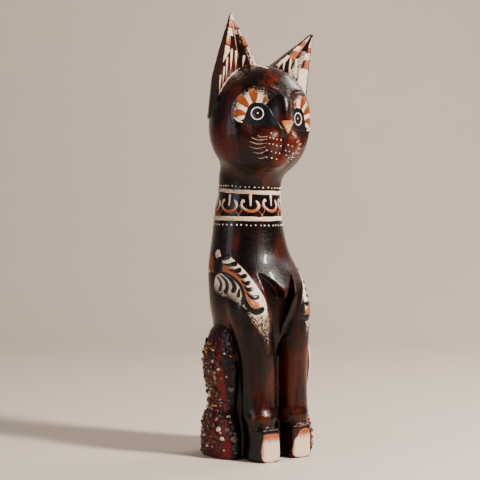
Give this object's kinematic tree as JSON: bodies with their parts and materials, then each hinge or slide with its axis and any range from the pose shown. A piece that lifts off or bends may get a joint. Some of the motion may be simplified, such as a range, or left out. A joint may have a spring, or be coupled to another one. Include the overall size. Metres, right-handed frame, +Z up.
{
  "type": "painted wooden cat figurine",
  "caption": "Tall slim sitting cat carved from wood, dark lacquered, with hand-painted collar, eyes, ears and shoulder plumes, and red haunches set with mineral chips.",
  "frame": {"origin": "on the resting face, below the middle of the torso", "axes": "+Z up along the sitting cat, the cat faces -Y, its left side is +X"},
  "size_m": [0.1085, 0.0994, 0.4001],
  "materials": {
    "lacquered_wood": "glossy lacquer over dark brown stain with red-brown patches",
    "cream_paint": "hand-brushed cream acrylic paint, slightly raised",
    "white_paint": "white acrylic paint dots and lines under lacquer",
    "orange_paint": "burnt orange acrylic paint shading to cream",
    "black_paint": "black acrylic paint under gloss lacquer",
    "peach_paint": "peach acrylic paint",
    "red_paste": "deep red textured paste under gloss lacquer",
    "cream_chips": "broken shell and mineral chips",
    "amber_chips": "amber coloured grit",
    "dark_chips": "grey-green to black mineral grit"
  },
  "bodies": {
    "root": {"carved_block": "lacquered_wood", "collar_upper_band": "cream_paint", "collar_lower_band": "cream_paint", "collar_upper_dots": "white_paint", "collar_lower_dots": "white_paint", "collar_scrolls": "cream_paint", "collar_drops": "cream_paint", "collar_diamonds": "orange_paint", "nose_tip": "peach_paint", "left_haunch_leaf": "cream_paint", "right_brow_fan": "cream_paint", "right_brow_petals": "orange_paint", "right_eye_patch": "black_paint", "right_eye_ring": "white_paint", "right_eye_glint": "white_paint", "right_muzzle_dots": "white_paint", "right_whiskers": "cream_paint", "right_ear_paint": "cream_paint", "right_ear_strokes": "cream_paint", "right_shoulder_plume": "cream_paint", "right_plume_spine": "orange_paint", "right_plume_strokes": "black_paint", "right_toe_paint": "cream_paint", "right_haunch_paste": "red_paste", "right_cream_chips": "cream_chips", "right_amber_chips": "amber_chips", "right_dark_chips": "dark_chips", "left_brow_fan": "cream_paint", "left_brow_petals": "orange_paint", "left_eye_patch": "black_paint", "left_eye_ring": "white_paint", "left_eye_glint": "white_paint", "left_muzzle_dots": "white_paint", "left_whiskers": "cream_paint", "left_ear_paint": "cream_paint", "left_ear_strokes": "cream_paint", "left_shoulder_plume": "cream_paint", "left_plume_spine": "orange_paint", "left_plume_strokes": "black_paint", "left_toe_paint": "cream_paint", "left_haunch_paste": "red_paste", "left_cream_chips": "cream_chips", "left_amber_chips": "amber_chips", "left_dark_chips": "dark_chips"}
  },
  "joints": []
}
